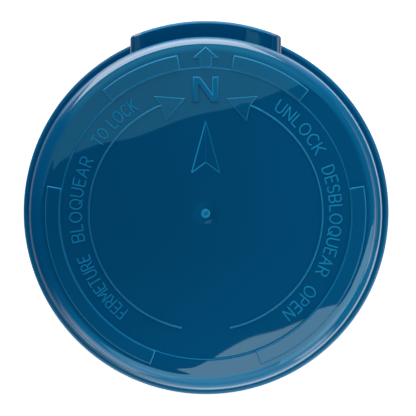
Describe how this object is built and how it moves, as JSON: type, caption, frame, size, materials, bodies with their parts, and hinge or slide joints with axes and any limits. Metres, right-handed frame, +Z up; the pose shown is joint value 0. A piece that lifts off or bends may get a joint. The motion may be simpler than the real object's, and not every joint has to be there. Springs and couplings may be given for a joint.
{
  "type": "photocell switch",
  "caption": "Round blue twist-lock photocell switch: a moulded drum with a window housing on its north side, closed by a base with hooked brass blades and a sealing gasket.",
  "frame": {"origin": "centre of the mounting plane: the blades' common axis at the gasket's lower face", "axes": "+Z up through the crown, +Y north, out of the window; the blades point along -Z"},
  "size_m": [0.084, 0.0848, 0.0576],
  "materials": {
    "cover_blue": "glossy injection-moulded polypropylene",
    "clear_lens": "clear polycarbonate",
    "base_black": "black moulded thermoset",
    "gasket_rubber": "closed-cell sponge rubber",
    "blade_brass": "stamped brass",
    "rivet_brass": "turned brass",
    "board_green": "glass-epoxy board with green solder mask",
    "screw_steel": "zinc-plated steel",
    "relay_case": "blue moulded case",
    "varistor_coat": "blue epoxy dip",
    "film_case": "yellow box case",
    "filter_sleeve": "dark shrink sleeve over an aluminium can",
    "moulded_black": "black moulded epoxy",
    "tinned_wire": "tinned copper wire",
    "dropper_coat": "grey fireproof lacquer",
    "resistor_coat": "tan lacquer",
    "holder_black": "black moulded nylon",
    "cell_ceramic": "ceramic disc with a cadmium sulphide track under clear lacquer"
  },
  "bodies": {
    "root": {"cover": "cover_blue", "window_lens": "clear_lens", "base_plate": "base_black", "gasket": "gasket_rubber", "line_blade": "blade_brass", "load_blade": "blade_brass", "neutral_blade": "blade_brass", "blade_rivets": "rivet_brass", "circuit_board": "board_green", "board_screws": "screw_steel", "relay": "relay_case", "surge_varistor": "varistor_coat", "film_capacitor": "film_case", "filter_capacitor": "filter_sleeve", "bridge_rectifier": "moulded_black", "transistor": "moulded_black", "zener_diode": "moulded_black", "zener_leads": "tinned_wire", "dropper_resistor": "dropper_coat", "dropper_leads": "tinned_wire", "resistors": "resistor_coat", "resistor_leads": "tinned_wire", "photocell_holder": "holder_black", "photocell": "cell_ceramic", "photocell_leads": "tinned_wire"}
  },
  "joints": []
}
